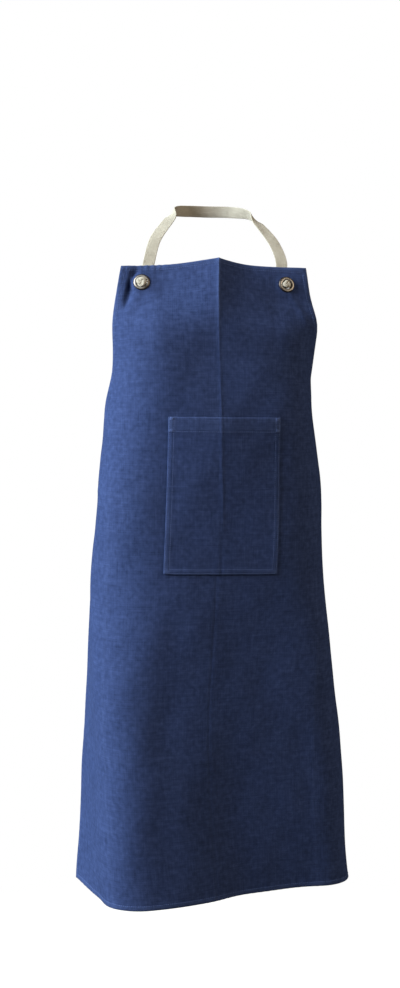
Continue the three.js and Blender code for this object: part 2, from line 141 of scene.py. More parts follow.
# Waist tie round the back, its width and thickness inside its knot, and its hanging ends:
# side, length, splay in degrees
TIE_LEVEL = 315.0
TIE_LAP = 30.0
TIE_CLEAR = 8.0
TIE_ROUTE = ((-116, 49, -387), (-66, 57, -385), (-17, 59, -384), (32, 58, -385), (78, 50, -387))
TIE_KNOT_DEEP = 13.0
TIE_SQUEEZED = (13.0, 2.4)
TIE_MIDDLE = (-17.0, -70.0, 0.0)
TIE_TAILS = ((-1, 235.0, 9.0), (1, 215.0, 11.0))


def smoothstep(t):
    u = np.clip(t, 0.0, 1.0)
    return u * u * (3.0 - 2.0 * u)


def unit(v):
    v = np.asarray(v, dtype=float)
    return v / np.linalg.norm(v, axis=-1, keepdims=True)


# Hanging shape of the cloth
ROW_GAP = np.diff(DRAPE[:, 0])[:, None]
SECANT = np.diff(DRAPE, axis=0) / ROW_GAP
INNER_SLOPE = (ROW_GAP[:-1] * SECANT[1:] + ROW_GAP[1:] * SECANT[:-1]) / (ROW_GAP[:-1] + ROW_GAP[1:])
SLOPE = np.vstack([SECANT[:1], INNER_SLOPE, SECANT[-1:]])


def drape(name, level):
    c = DRAPE_COLUMNS.index(name)
    level = np.asarray(level, dtype=float)
    i = np.clip(np.searchsorted(DRAPE[:, 0], level, side="left") - 1, 0, len(DRAPE) - 2)
    span = DRAPE[i + 1, 0] - DRAPE[i, 0]
    t = (level - DRAPE[i, 0]) / span
    t2 = t * t
    t3 = t2 * t
    start = (2 * t3 - 3 * t2 + 1) * DRAPE[i, c] + (t3 - 2 * t2 + t) * span * SLOPE[i, c]
    end = (3 * t2 - 2 * t3) * DRAPE[i + 1, c] + (t3 - t2) * span * SLOPE[i + 1, c]
    return start + end


crease_levels = np.arange(0.0, LENGTH + CREASE_STEP, CREASE_STEP)
crease_dx = np.diff(drape("x", crease_levels))
crease_dy = np.diff(drape("y", crease_levels))
crease_drop = np.sqrt(CREASE_STEP ** 2 - crease_dx ** 2 - crease_dy ** 2)
crease_heights = TOP_HEIGHT - np.concatenate([[0.0], np.cumsum(crease_drop)])


def crease_height(level):
    i = np.clip(np.floor(level / CREASE_STEP).astype(int), 0, len(crease_heights) - 2)
    share = level / CREASE_STEP - i
    return crease_heights[i] + (crease_heights[i + 1] - crease_heights[i]) * share


PLAN_SHARES = (np.arange(100) + 0.5) / 100


def cloth_point(across, level):
    """Point of the cloth's plain front face for arrays of pattern places."""
    across, level = np.broadcast_arrays(np.asarray(across, dtype=float), np.asarray(level, dtype=float))
    left = across < 0
    reach = np.abs(across)
    values = {}
    for name in ("keel", "flat", "turn", "spread", "side"):
        values[name] = np.where(left, drape(name + "L", level), drape(name + "R", level))[..., None]
    s = reach[..., None] * PLAN_SHARES
    degrees = values["flat"] + (values["keel"] - values["flat"]) * np.exp(-((s / KEEL_REACH) ** 2))
    turned = smoothstep((s - values["turn"] + values["spread"] / 2) / values["spread"])
    angle = np.radians(degrees + (values["side"] - values["flat"]) * turned)
    run_x = reach * np.cos(angle).mean(axis=-1)
    run_y = reach * np.sin(angle).mean(axis=-1)
    dy = drape("y", level + 2) - drape("y", level - 2)
    dz = crease_height(level + 2) - crease_height(level - 2)
    lean = np.arctan2(-dy, -dz)
    depth = np.where(left, SAG[-1], SAG[1])
    sag = depth * (1 - np.exp(-((across / SAG_REACH) ** 2))) * np.exp(-level / SAG_FADE)
    low = smoothstep((level - CORNER_TOP) / (LENGTH - CORNER_TOP))
    drop = CORNER_DROP * low * smoothstep((reach - CORNER_START) / (SKIRT_HALF - CORNER_START))
    x = drape("x", level) + np.where(left, -run_x, run_x)
    y = drape("y", level) + np.cos(lean) * run_y
    z = crease_height(level) - np.sin(lean) * run_y - sag - drop
    return np.stack([x, y, z], axis=-1)


def cloth_frame(across, level):
    """Point, outward direction and way up the cloth."""
    away = 3.0
    d_across = cloth_point(np.add(across, away), level) - cloth_point(np.subtract(across, away), level)
    d_level = cloth_point(across, np.add(level, away)) - cloth_point(across, np.subtract(level, away))
    return cloth_point(across, level), unit(np.cross(d_level, d_across)), unit(-d_level)


def armhole_point(t):
    pull = 2 * t * (1 - t)
    across = BIB_HALF * (1 - t) ** 2 + ARMHOLE_PULL[0] * pull + SKIRT_HALF * t * t
    return across, ARMHOLE_PULL[1] * pull + ARMHOLE_DROP * t * t


ARM_T = np.linspace(0.0, 1.0, 700)
ARM_ACROSS, ARM_LEVEL = armhole_point(ARM_T)


def armhole_level(reach):
    return np.where(reach <= BIB_HALF, 0.0, np.interp(reach, ARM_ACROSS, ARM_LEVEL))


def edge_distance(across, level):
    """Distance on the pattern to the panel's nearest edge."""
    reach = np.abs(across)
    nearest = np.minimum(SKIRT_HALF - reach, LENGTH - level)
    nearest = np.where(reach <= BIB_HALF, np.minimum(nearest, level), nearest)
    close = level < ARMHOLE_DROP + 30
    spots = np.stack([reach[close], level[close]], axis=-1)
    arm = np.stack([ARM_ACROSS, ARM_LEVEL], axis=-1)
    found = np.empty(len(spots))
    for i in range(0, len(spots), 4000):
        part = spots[i:i + 4000]
        gaps = np.hypot(part[:, None, 0] - arm[None, :, 0], part[:, None, 1] - arm[None, :, 1])
        found[i:i + 4000] = gaps.min(axis=1)
    nearest = nearest.copy()
    nearest[close] = np.minimum(nearest[close], found)
    return np.maximum(nearest, 0.0)


def long_bump(across, level, start, end, half_width):
    """One soft ridge or valley between two places on the pattern, 1 along its middle."""
    (ax, ay), (bx, by) = start, end
    span = math.hypot(bx - ax, by - ay)
    way = ((bx - ax) / span, (by - ay) / span)
    along = (across - ax) * way[0] + (level - ay) * way[1]
    aside = (across - ax) * way[1] - (level - ay) * way[0]
    over = np.maximum(np.maximum(-along, along - span), 0.0)
    return np.exp(-((aside / half_width) ** 2)) * np.exp(-((over / (2.2 * half_width)) ** 2))


# Folds and dents of the panel: start, end, half width, rise outwards
FOLDS = (
    ((-131, 16), (-143, 58), 4.8, -5.2),
    ((-126, 16), (-134, 46), 6.0, -2.0),
    ((-114, 52), (-131, 92), 8.0, -1.2),
    ((-100, 44), (-92, 118), 14.0, 1.0),
    ((126, 46), (146, 86), 4.5, 1.3),
    ((104, 50), (92, 120), 15.0, -1.0),
    ((-150, 120), (-60, 215), 24.0, 1.4),
    ((150, 150), (70, 225), 22.0, -1.2),
    ((-250, 318), (-170, 420), 20.0, 1.6),
    ((255, 318), (185, 410), 20.0, 1.3),
    ((60, 640), (85, 985), 26.0, 1.3),
    ((-60, 560), (-75, 900), 24.0, -1.2),
    ((150, 600), (175, 980), 22.0, -1.4),
)

# Pressed centre crease: a ridge down to the lower part of the pocket, a faint groove below it
CREASE_LEVELS = (0, 60, 160, 260, 380, 450, 520, 1000)
CREASE_RISE = (0.9, 0.9, 0.5, 0.7, 0.7, -0.3, -0.6, -0.5)
CREASE_WIDE = 2.6

# Lines that the cloth was folded on when it was packed flat
PACK_LEVELS = (165, 365, 565, 765)
PACK_ACROSS = 175

# Slow unevenness: wave lengths across and down, phase, rise
UNEVEN = (
    (310, 240, 0.4, 0.8),
    (-190, 330, 1.9, 0.7),
    (140, 420, 3.1, 0.45),
    (-96, 170, 4.4, 0.3),
    (62, 118, 5.2, 0.18),
    (74, -88, 0.9, 0.15),
)


def wavering(across, level):
    total = np.zeros_like(across)
    for wide, tall, phase, rise in UNEVEN:
        total += rise * np.sin(2 * np.pi * (across / wide + level / tall) + phase)
    return total


def eyelet_rest(across, level):
    """0 under an eyelet's flange, where the cloth is clamped flat, and 1 away from it."""
    share = np.ones_like(across)
    for spot in EYELETS.values():
        r = np.hypot(across - spot[0], level - spot[1])
        share *= smoothstep((r - FLANGE_RADIUS) / 7.0)
    return share


def puckers(across, level):
    """Small gathers in the top hem by the left eyelet, from -1 to 1."""
    return np.exp(-level / 8) * np.exp(-(((across + 104) / 26) ** 2)) * np.sin(across / 1.5)


def crease_wear(level):
    """Rubbing along the pressed crease: full at the top of the bib and none below it."""
    return 1 - smoothstep((level - 50) / 110)


def cloth_bend(across, level, crease=0.0):
    """How far folds carry the cloth outwards, both faces together."""
    bend = wavering(across, level)
    for start, end, half_width, rise in FOLDS:
        bend += rise * long_bump(across, level, start, end, half_width)
    pressed = np.interp(level, CREASE_LEVELS, CREASE_RISE)
    bend += pressed * np.exp(-np.abs((across - crease) / CREASE_WIDE) ** 1.6)
    for pack in PACK_LEVELS:
        patchy = 0.6 + 0.4 * np.sin(across / 37 + pack)
        bend += 0.35 * patchy * np.exp(-(((level - pack - 2 * np.sin(across / 90)) / 2.2) ** 2))
    bend += 0.3 * np.exp(-(((np.abs(across) - PACK_ACROSS) / 2.2) ** 2)) * smoothstep((level - 330) / 60)
    bend += 0.9 * puckers(across, level)
    foot = np.exp(-(LENGTH - level) / 16)
    gather = np.sin(across / 1.75 + 1.3 * np.sin(across / 23)) * (0.5 + 0.5 * np.sin(across / 61 + 1))
    bend += 0.32 * foot * gather + 0.9 * foot * np.sin(across / 15 + 2)
    return bend * eyelet_rest(across, level)


def hem_relief(across, level, gap):
    """Rise of the front face and drop of the back face from the turned hem."""
    hem = 1 - smoothstep((gap - HEM_STITCH) / 2.0)
    row = np.exp(-(((gap - HEM_STITCH) / 0.9) ** 2))
    fold = np.exp(-gap / 0.8)
    rope = hem * (1 - fold) * np.sin((across * 0.95 + level * 0.55) / 1.05)
    front = 0.45 * hem - 0.42 * row - 0.95 * fold + 0.1 * rope
    back = -CLOTH - HEM_BACK * hem + 0.3 * row + 0.8 * fold - 0.08 * rope
    return front, back


def panel_face(across, level, gap=None, back=False):
    """The panel's finished front or back face."""
    across = np.asarray(across, dtype=float)
    level = np.asarray(level, dtype=float)
    if gap is None:
        gap = edge_distance(across, level)
    point, out, _ = cloth_frame(across, level)
    front_rise, back_rise = hem_relief(across, level, gap)
    rise = cloth_bend(across, level) + (back_rise if back else front_rise)
    return point + out * rise[..., None]


def pocket_edges(across, level):
    side = np.minimum(across - POCKET_LEFT, POCKET_RIGHT - across)
    return side, POCKET_BOTTOM - level, level - POCKET_TOP


def pocket_crease(level):
    """Where the pressed crease runs on the pocket, which drifts off the panel's own crease."""
    return -1.6 + 8.0 * smoothstep((level - POCKET_TOP) / 190)


def pocket_base(across, level):
    reach = POCKET_WIDE / 2
    share = (level - POCKET_TOP) / POCKET_TALL
    opened = (1 - smoothstep(share)) ** 2
    inward = 1 - ((across - POCKET_MIDDLE) / reach) ** 2
    soft = 0.5 + 0.5 * np.sin(across / 19 + level / 75)
    slack = 0.8 * soft * np.clip(inward, 0, 1) * np.sin(np.pi * np.clip(share, 0, 1))
    return GAP + 0.1 + POCKET_GAPE * opened * inward + slack


def pocket_face(across, level, back=False):
    """The pocket's finished front or back face."""
    across = np.asarray(across, dtype=float)
    level = np.asarray(level, dtype=float)
    side, foot, mouth = pocket_edges(across, level)
    sewn = np.minimum(side, foot)
    share = (level - POCKET_TOP) / POCKET_TALL
    tilt = POCKET_TILT_TOP + (POCKET_TILT_FOOT - POCKET_TILT_TOP) * share
    tilted = level + tilt * (across - POCKET_MIDDLE)
    placed = POCKET_MIDDLE + (across - POCKET_MIDDLE) * (1 - POCKET_TAPER * (1 - share))
    point, out, _ = cloth_frame(placed, tilted)
    base = cloth_bend(placed, tilted, pocket_crease(level)) + pocket_base(across, level)
    if back:
        rise = base + 0.35 * np.exp(-np.minimum(sewn, mouth) / 0.8)
    else:
        turn = 1 - smoothstep((sewn - 9.0) / 2.0)
        hem = 1 - smoothstep((mouth - POCKET_HEM + 1.5) / 2.0)
        rows = sum(np.exp(-(((sewn - row) / 0.8) ** 2)) for row in POCKET_ROWS)
        rows = rows + np.exp(-(((mouth - POCKET_HEM + 2.0) / 0.9) ** 2))
        fold = np.exp(-np.minimum(sewn, mouth) / 0.8)
        rope = np.sin((across + level * 0.6) / 1.1) * np.maximum(turn, hem) * (1 - fold)
        rise = base + CLOTH + 0.4 * turn + 0.45 * hem - 0.36 * rows - 0.9 * fold + 0.08 * rope
    return point + out * rise[..., None]


# Meshes
def add_object(name, points, faces, material, uv=None, wear_and_painted_light=None):
    mesh = bpy.data.meshes.new(name)
    mesh.from_pydata((np.asarray(points) * MM).tolist(), [], faces)
    mesh.polygons.foreach_set("use_smooth", [True] * len(mesh.polygons))
    if uv is not None:
        corner = np.empty(len(mesh.loops), dtype=np.int32)
        mesh.loops.foreach_get("vertex_index", corner)
        layer = mesh.uv_layers.new(name="UVMap")
        layer.data.foreach_set("uv", np.ascontiguousarray(uv[corner], dtype=np.float32).ravel())
    if wear_and_painted_light is not None:
        field = mesh.attributes.new("wear_and_painted_light", "FLOAT", "POINT")
        field.data.foreach_set("value", np.ascontiguousarray(wear_and_painted_light, dtype=np.float32).ravel())
    mesh.materials.append(material)
    mesh.validate()
    mesh.update()
    obj = bpy.data.objects.new(name, mesh)
    bpy.context.scene.collection.objects.link(obj)
    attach(obj, "root")
    return obj


def close_sheet(front, back, quads):
    """Points and faces of a thin closed sheet from its two faces, with a rim wherever quads end."""
    count = len(front)
    a, b, c, d = quads.T
    ends = np.concatenate([
        np.stack([a, b], 1), np.stack([b, c], 1), np.stack([c, d], 1), np.stack([d, a], 1),
    ])
    key = ends.min(axis=1) * count + ends.max(axis=1)
    _, first, times = np.unique(key, return_index=True, return_counts=True)
    rim = ends[first[times == 1]]
    faces = quads.tolist()
    faces += (quads[:, ::-1] + count).tolist()
    faces += np.stack([rim[:, 1], rim[:, 0], rim[:, 0] + count, rim[:, 1] + count], 1).tolist()
    points = np.concatenate([front, back])
    used = np.zeros(len(points), dtype=bool)
    used[np.concatenate([quads.ravel(), quads.ravel() + count])] = True
    order = np.cumsum(used) - 1
    faces = [[int(order[v]) for v in face] for face in faces]
    return points[used], faces, used


def grid_quads(rows, columns):
    at = np.arange(rows * columns).reshape(rows, columns)
    corners = [at[:-1, :-1].ravel(), at[1:, :-1].ravel(), at[1:, 1:].ravel(), at[:-1, 1:].ravel()]
    return np.stack(corners, axis=1)


CORNER_REACH = 10.0
HEM_GAPS = np.array([0.0, 0.35, 0.9, 1.8, 3.2, 4.8, 6.2, 6.9, 7.4, 7.9, 8.6, 9.6, 11.5])


def panel_columns():
    half = [0, 0.9, 1.9, 3.2, 5.0, 8.0, 12.0]
    half += list(np.arange(17, 83, 5.0))
    half += list(np.arange(84.3, 134, 2.4))
    half += list(np.arange(136.4, BIB_HALF + CORNER_REACH, 0.8))
    half += list(armhole_point(np.linspace(0.11, 0.965, 36))[0])
    half += list(SKIRT_HALF - HEM_GAPS)
    half = np.array(sorted(half))
    keep = np.concatenate([[True], np.diff(half) > 0.25])
    half = half[keep]
    return np.concatenate([-half[:0:-1], half])


def make_panel(material):
    across = panel_columns()
    top = armhole_level(np.abs(across))
    slope = np.interp(np.abs(across), ARM_ACROSS, np.gradient(ARM_LEVEL, ARM_ACROSS))
    slope = slope * smoothstep((np.abs(across) - BIB_HALF) / CORNER_REACH)
    stretch = np.hypot(1.0, slope)
    near = np.concatenate([np.arange(14.0, 43, 2.4), np.arange(47.5, LEVEL_ROWS, 6.0)])
    share = (near - HEM_GAPS[-1]) / (LEVEL_ROWS - HEM_GAPS[-1])
    rows = [top + gap * stretch for gap in HEM_GAPS]
    start = rows[-1]
    rows += [start + (LEVEL_ROWS - start) * part for part in share]
    rows += [np.full_like(across, level) for level in np.linspace(LEVEL_ROWS, LENGTH - 16, 104)]
    rows += [np.full_like(across, LENGTH - gap) for gap in HEM_GAPS[::-1]]
    level = np.array(rows)
    across = np.broadcast_to(across, level.shape).copy()
    quads = grid_quads(*level.shape)
    flat_across = across.ravel()
    flat_level = level.ravel()
    keep = np.ones(len(quads), dtype=bool)
    for spot in EYELETS.values():
        dx = flat_across - spot[0]
        dy = flat_level - spot[1]
        r = np.hypot(dx, dy)
        gone = (r[quads] < HOLE_RADIUS - 0.6).any(axis=1)
        keep &= ~gone
        ring = np.intersect1d(quads[gone].ravel(), quads[~gone].ravel())
        flat_across[ring] = spot[0] + dx[ring] / r[ring] * HOLE_RADIUS
        flat_level[ring] = spot[1] + dy[ring] / r[ring] * HOLE_RADIUS
    quads = quads[keep]
    gap = edge_distance(flat_across, flat_level)
    front = panel_face(flat_across, flat_level, gap)
    back = panel_face(flat_across, flat_level, gap, back=True)
    points, faces, used = close_sheet(front, back, quads)
    uv = np.stack([flat_across * MM, -flat_level * MM], axis=1)
    wear_and_painted_light = 0.25 * np.exp(-gap / 1.6) + 0.14 * (1 - smoothstep((gap - 6.8) / 2.0))
    wear_and_painted_light = wear_and_painted_light + 0.3 * crease_wear(flat_level) * np.exp(-((flat_across / 2.6) ** 2))
    # Painted highlight: the outward crests of the top hem's puckers are lightened
    wear_and_painted_light = wear_and_painted_light + 0.5 * np.maximum(puckers(flat_across, flat_level), 0)
    for pack in PACK_LEVELS:
        wear_and_painted_light = wear_and_painted_light + 0.07 * np.exp(-(((flat_level - pack) / 3.0) ** 2))
    wear_and_painted_light = wear_and_painted_light + 0.08 * np.exp(-(((np.abs(flat_across) - PACK_ACROSS) / 3.0) ** 2)) * (flat_level > 330)
    twice = np.tile(np.arange(len(uv)), 2)[used]
    return add_object("apron_cloth", points, faces, material, uv[twice], np.clip(wear_and_painted_light, 0, 1)[twice])


def make_pocket(material):
    edge = np.array([0.0, 0.35, 0.9, 1.6, 2.2, 2.9, 4.2, 6.2, 7.5, 8.2, 8.9, 10.2, 12.0])
    columns = np.concatenate([
        POCKET_LEFT + edge,
        np.linspace(POCKET_LEFT + 15.5, -8.5, 18),
        np.arange(-6.2, 11.0, 1.3),
        np.linspace(13.0, POCKET_RIGHT - 15.5, 20),
        POCKET_RIGHT - edge[::-1],
    ])
    mouth = np.array([0.0, 0.35, 0.9, 2.0, 4.0, 8.0, 13.0, 18.0, 20.6, 21.4, 22.0, 22.7, 23.6, 25.0])
    lines = np.concatenate([
        POCKET_TOP + mouth,
        np.linspace(POCKET_TOP + 28.5, POCKET_BOTTOM - 15.5, 50),
        POCKET_BOTTOM - edge[::-1],
    ])
    across, level = np.meshgrid(columns, lines)
    corner = 2.0
    across, level = across.ravel(), level.ravel()
    side, foot, top = pocket_edges(across, level)
    inset = np.maximum(corner - side, 0) * np.maximum(corner - foot, 0) / corner * 0.3
    level = level - inset
    across = across - np.sign(across - POCKET_MIDDLE) * inset
    quads = grid_quads(len(lines), len(columns))
    front = pocket_face(across, level)
    back = pocket_face(across, level, back=True)
    points, faces, used = close_sheet(front, back, quads)
    uv = np.stack([across * MM + 0.0004, -level * MM + 0.0003], axis=1)
    sewn = np.minimum(side, foot)
    at_mouth = 1 - smoothstep((top - POCKET_HEM + 3) / 2.5)
    at_seam = 1 - smoothstep((sewn - 9.0) / 3.0)
    at_foot = np.exp(-((np.hypot(side - 5, foot - 5) / 5) ** 2))
    wear_and_painted_light = 0.3 * np.exp(-np.minimum(sewn, top) / 1.0) + 0.1 * at_mouth + 0.32 * at_foot
    wear_and_painted_light = wear_and_painted_light + 0.25 * at_seam * at_mouth + 0.1 * at_seam * smoothstep((top - POCKET_TALL * 0.3) / 80)
    twice = np.tile(np.arange(len(uv)), 2)[used]
    return add_object("pocket_cloth", points, faces, material, uv[twice], np.clip(wear_and_painted_light, 0, 1)[twice])


# Stitching: pitch and thread of each row, and the tacks across the pocket's mouth corners
HEM_PITCH = 3.4
POCKET_PITCH = 3.2
THREAD_RADIUS = 0.42
TACK_RADIUS = 0.4
TACK_ROWS = ((1.4, 5.0), (18.4, 21.6))
TACK_PITCH = 0.6
TACK_INNER = 8.6
TACK_OUTER = 1.6


def along_line(spots, pitch):
    """Places every pitch along a line of pattern places."""
    spots = np.asarray(spots, dtype=float)
    run = np.concatenate([[0.0], np.cumsum(np.hypot(*np.diff(spots, axis=0).T))])
    count = max(int(run[-1] / pitch), 1)
    at = np.linspace(0.0, run[-1], count + 1)
    return np.stack([np.interp(at, run, spots[:, 0]), np.interp(at, run, spots[:, 1])], axis=1)


def stitch_ends(lines, pitch, fill=0.8):
    starts = []
    ends = []
    for line in lines:
        spots = along_line(line, pitch)
        step = np.diff(spots, axis=0)
        starts.append(spots[:-1] + step * (1 - fill) / 2)
        ends.append(spots[1:] - step * (1 - fill) / 2)
    return np.concatenate(starts), np.concatenate(ends)


def make_stitches(name, face, starts, ends, thick, material):
    """One small rounded thread for each stitch, dipping into the cloth at both ends."""
    middle = (starts + ends) / 2
    p0 = face(starts[:, 0], starts[:, 1])
    p1 = face(ends[:, 0], ends[:, 1])
    centre = face(middle[:, 0], middle[:, 1])
    _, out, _ = cloth_frame(middle[:, 0], middle[:, 1])
    way = unit(p1 - p0)
    side = unit(np.cross(out, way))
    half = np.linalg.norm(p1 - p0, axis=1)[:, None] / 2
    places = ((-1.0, 0.45, -0.55), (-0.5, 0.95, 0.25), (0.5, 0.95, 0.25), (1.0, 0.45, -0.55))
    turns = np.arange(6) * np.pi / 3
    rings = []
    for place, size, lift in places:
        for turn in turns:
            point = centre + way * half * place
            point = point + side * math.cos(turn) * thick * size
            point = point + out * (math.sin(turn) * 0.8 * size + lift) * thick
            rings.append(point)
    points = np.stack(rings, axis=1)
    template = []
    for r in range(len(places) - 1):
        for k in range(6):
            n = (k + 1) % 6
            template.append([r * 6 + k, (r + 1) * 6 + k, (r + 1) * 6 + n, r * 6 + n])
    caps = [[0, 1, 2, 3, 4, 5], [23, 22, 21, 20, 19, 18]]
    faces = []
    for i in range(len(points)):
        base = i * 24
        faces += [[base + v for v in quad] for quad in template]
        faces += [[base + v for v in cap] for cap in caps]
    return add_object(name, points.reshape(-1, 3), faces, material)


def hem_lines():
    d = HEM_STITCH
    t = np.linspace(0.0, 1.0, 120)
    across, level = armhole_point(t)
    slope_a = np.gradient(across, t)
    slope_l = np.gradient(level, t)
    size = np.hypot(slope_a, slope_l)
    inner_a = across - slope_l / size * d
    inner_l = level + slope_a / size * d
    inside = (inner_l > d) & (inner_a < SKIRT_HALF - d)
    arm = np.stack([inner_a[inside], inner_l[inside]], axis=1)
    side = [[SKIRT_HALF - d, ARMHOLE_DROP + d], [SKIRT_HALF - d, LENGTH - d]]
    lines = [arm, np.array(side), arm * [-1, 1], np.array(side) * [-1, 1]]
    lines.append(np.array([[-BIB_HALF + d + 1, d], [BIB_HALF - d - 1, d]]))
    lines.append(np.array([[-SKIRT_HALF + d, LENGTH - d], [SKIRT_HALF - d, LENGTH - d]]))
    return lines


def pocket_lines():
    lines = []
    for d in POCKET_ROWS:
        lines.append([
            [POCKET_LEFT + d, POCKET_TOP + 1.5],
            [POCKET_LEFT + d, POCKET_BOTTOM - d],
            [POCKET_RIGHT - d, POCKET_BOTTOM - d],
            [POCKET_RIGHT - d, POCKET_TOP + 1.5],
        ])
    hem = POCKET_TOP + POCKET_HEM - 2.0
    lines.append([[POCKET_LEFT + 1, hem], [POCKET_RIGHT - 1, hem]])
    return lines


def tack_ends():
    """Close bars of thread across both corners of the pocket's mouth."""
    starts = []
    ends = []
    for edge, inward in ((POCKET_LEFT, 1), (POCKET_RIGHT, -1)):
        for first, last in TACK_ROWS:
            for level in np.arange(POCKET_TOP + first, POCKET_TOP + last, TACK_PITCH):
                starts.append((edge + inward * TACK_INNER, level))
                ends.append((edge + inward * TACK_OUTER, level + TACK_PITCH / 2))
    return np.array(starts), np.array(ends)


# Tapes
def centripetal(points, shares):
    """Points of the centripetal spline through the given ones, as in the solids."""
    points = np.asarray(points, dtype=float)
    ends = np.vstack([2 * points[0] - points[1], points, 2 * points[-1] - points[-2]])
    segments = len(points) - 1
    along = np.asarray(shares) * segments
    index = np.clip(np.floor(along).astype(int), 0, segments - 1)
    t = (along - index)[:, None]
    p0, p1, p2, p3 = (ends[index + k] for k in range(4))
    dt0 = np.sqrt(np.linalg.norm(p1 - p0, axis=1))[:, None]
    dt1 = np.sqrt(np.linalg.norm(p2 - p1, axis=1))[:, None]
    dt2 = np.sqrt(np.linalg.norm(p3 - p2, axis=1))[:, None]
    m1 = ((p1 - p0) / dt0 - (p2 - p0) / (dt0 + dt1) + (p2 - p1) / dt1) * dt1
    m2 = ((p2 - p1) / dt1 - (p3 - p1) / (dt1 + dt2) + (p3 - p2) / dt2) * dt1
    c2 = -3 * p1 + 3 * p2 - 2 * m1 - m2
    c3 = 2 * p1 - 2 * p2 + m1 + m2
    return p1 + m1 * t + c2 * t * t + c3 * t ** 3


SECTION = 40


def tape_section(width, thick, pleat, along):
    """Outline of a woven tape: round edges, a firm selvedge, and pleats where it is gathered."""
    turn = np.arange(SECTION) * 2 * np.pi / SECTION
    cos, sin = np.cos(turn), np.sin(turn)
    u = np.sign(cos) * np.abs(cos) ** 0.55
    v = np.sign(sin) * np.abs(sin) ** 0.4
    selvedge = np.exp(-(((np.abs(u) - 0.9) / 0.07) ** 2))
    rise = v * (thick / 2 - 0.1 + 0.12 * selvedge)
    rise = rise + pleat * np.cos(3.2 * np.pi * u + 0.4) * (1 - 0.5 * np.abs(u))
    rise = rise + 0.12 * np.sin(along / 13 + 2.1 * u) * (1 - pleat)
    return u * width / 2, rise


def make_tape(name, stations, steps, material):
    """A tape swept through stations of point, outer face, width, thickness and pleating."""
    at = [s[0] for s in stations]
    shares = np.linspace(0.0, 1.0, steps + 1)
    points = centripetal(at, shares)
    step = 1e-4
    before = centripetal(at, np.maximum(shares - step, 0))
    after = centripetal(at, np.minimum(shares + step, 1))
    way = unit(after - before)
    run = np.concatenate([[0.0], np.cumsum(np.linalg.norm(np.diff(points, axis=0), axis=1))])
    rings = []
    uv = []
    for i, share in enumerate(shares):
        along = share * (len(stations) - 1)
        k = min(int(along), len(stations) - 2)
        t = float(smoothstep(along - k))
        a, b = stations[k], stations[k + 1]
        face = np.asarray(a[1]) * (1 - t) + np.asarray(b[1]) * t
        width, thick, pleat = (a[j] * (1 - t) + b[j] * t for j in (2, 3, 4))
        out = unit(face - way[i] * np.dot(face, way[i]))
        side = np.cross(out, way[i])
        u, v = tape_section(width, thick, pleat, run[i])
        rings.append(points[i] + side * u[:, None] + out * v[:, None])
        uv.append(np.stack([u / width * TAPE_WIDTH * MM, np.full(SECTION, run[i] * MM)], axis=1))
    points = np.concatenate(rings)
    faces = []
    for here in range(0, steps * SECTION, SECTION):
        there = here + SECTION
        for k in range(SECTION):
            n = (k + 1) % SECTION
            faces.append([here + k, here + n, there + n, there + k])
    last = steps * SECTION
    faces += [list(range(SECTION))[::-1], [last + k for k in range(SECTION)]]
    obj = add_object(name, points, faces, material, np.concatenate(uv))
    print(name, "length mm", round(float(run[-1]), 1))
    return obj


def neck_stations(route, spot):
    stations = []
    for row in route:
        stations.append((np.array(row[:3], float), unit(row[3:]), TAPE_WIDTH, TAPE_THICK, 0.0))
    point, out, up = cloth_frame(np.array(spot[0]), np.array(spot[1]))
    inward = np.array([-np.sign(spot[0]), 0.0, 0.0])

    def behind(drop, rise, lean):
        return point + out * drop + up * rise + inward * lean

    stations.append((behind(-13, 17, 5), out, 15.0, 4.0, 0.7))
    stations.append((behind(-12.5, 4.5, 1.5), unit(out + up), STEM_WIDTH + 1, STEM_THICK - 1, 0.9))
    stations.append((behind(-6, 0, 0), up, STEM_WIDTH, STEM_THICK, 0.7))
    stations.append((behind(EYELET_SEAT + FLANGE_RISE + 2, 0, 0), up, STEM_WIDTH, STEM_THICK, 0.5))
    return stations


def make_tube(name, path, radii, sides, ridges, material):
    """A soft gathered strand round a closed path."""
    count = len(path)
    way = unit(np.roll(path, -1, axis=0) - np.roll(path, 1, axis=0))
    middle = path.mean(axis=0)
    run = np.concatenate([[0.0], np.cumsum(np.linalg.norm(np.diff(path, axis=0), axis=1))])
    turn = np.arange(sides) * 2 * np.pi / sides
    rings = []
    uv = []
    for i in range(count):
        out = path[i] - middle
        out = unit(out - way[i] * np.dot(out, way[i]))
        side = np.cross(way[i], out)
        grow = 1 + 0.07 * np.cos(ridges * turn + run[i] * 0.25)
        ring = path[i] + out * (np.cos(turn) * radii[0] * grow)[:, None]
        rings.append(ring + side * (np.sin(turn) * radii[1] * grow)[:, None])
        uv.append(np.stack([turn * 1.4 * MM, np.full(sides, run[i] * MM)], axis=1))
    faces = []
    for r in range(count):
        for k in range(sides):
            n = (k + 1) % sides
            after = (r + 1) % count
            faces.append([r * sides + k, r * sides + n, after * sides + n, after * sides + k])
    points = np.concatenate(rings)
    return add_object(name, points, faces, material, np.concatenate(uv))


def make_knot(name, spot, turn, size, material):
    """Stopper knot: the strap's end tied in an overhand knot that fills the eyelet."""
    point, out, up = cloth_frame(np.array(spot[0]), np.array(spot[1]))
    right = np.cross(up, out)
    t = np.arange(132) * 2 * np.pi / 132
    reach = size * (3.0 + 1.3 * np.cos(3 * t))
    local_x = reach * np.cos(2 * t + turn)
    local_y = reach * np.sin(2 * t + turn)
    local_z = KNOT_SEAT + 0.7 * np.sin(3 * t)
    path = point + right * local_x[:, None] + up * local_y[:, None] + out * local_z[:, None]
    return make_tube(name, path, (3.0 * size, 2.4), 18, 5, material)


